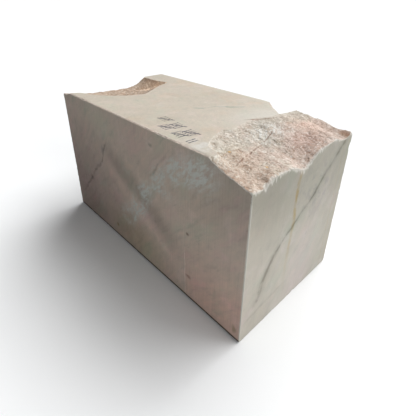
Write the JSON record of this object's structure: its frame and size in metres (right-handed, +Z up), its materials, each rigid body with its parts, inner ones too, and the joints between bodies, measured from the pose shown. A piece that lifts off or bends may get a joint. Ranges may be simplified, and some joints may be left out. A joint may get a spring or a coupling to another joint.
{
  "type": "marble block",
  "caption": "Sawn block of veined marble that stands on its flat base, with rough broken hollows in its top at both ends.",
  "frame": {"origin": "middle of the box around the block, on the bottom face", "axes": "+X along the block towards the end with the wide break, -Y out of the long front face, +Z up"},
  "size_m": [1.6, 0.8, 0.89],
  "materials": {
    "marble": "sawn warm grey-beige marble with grey and ochre veins, pinkish crystalline stone where it is broken"
  },
  "bodies": {
    "root": {"marble_block": "marble"}
  },
  "joints": []
}
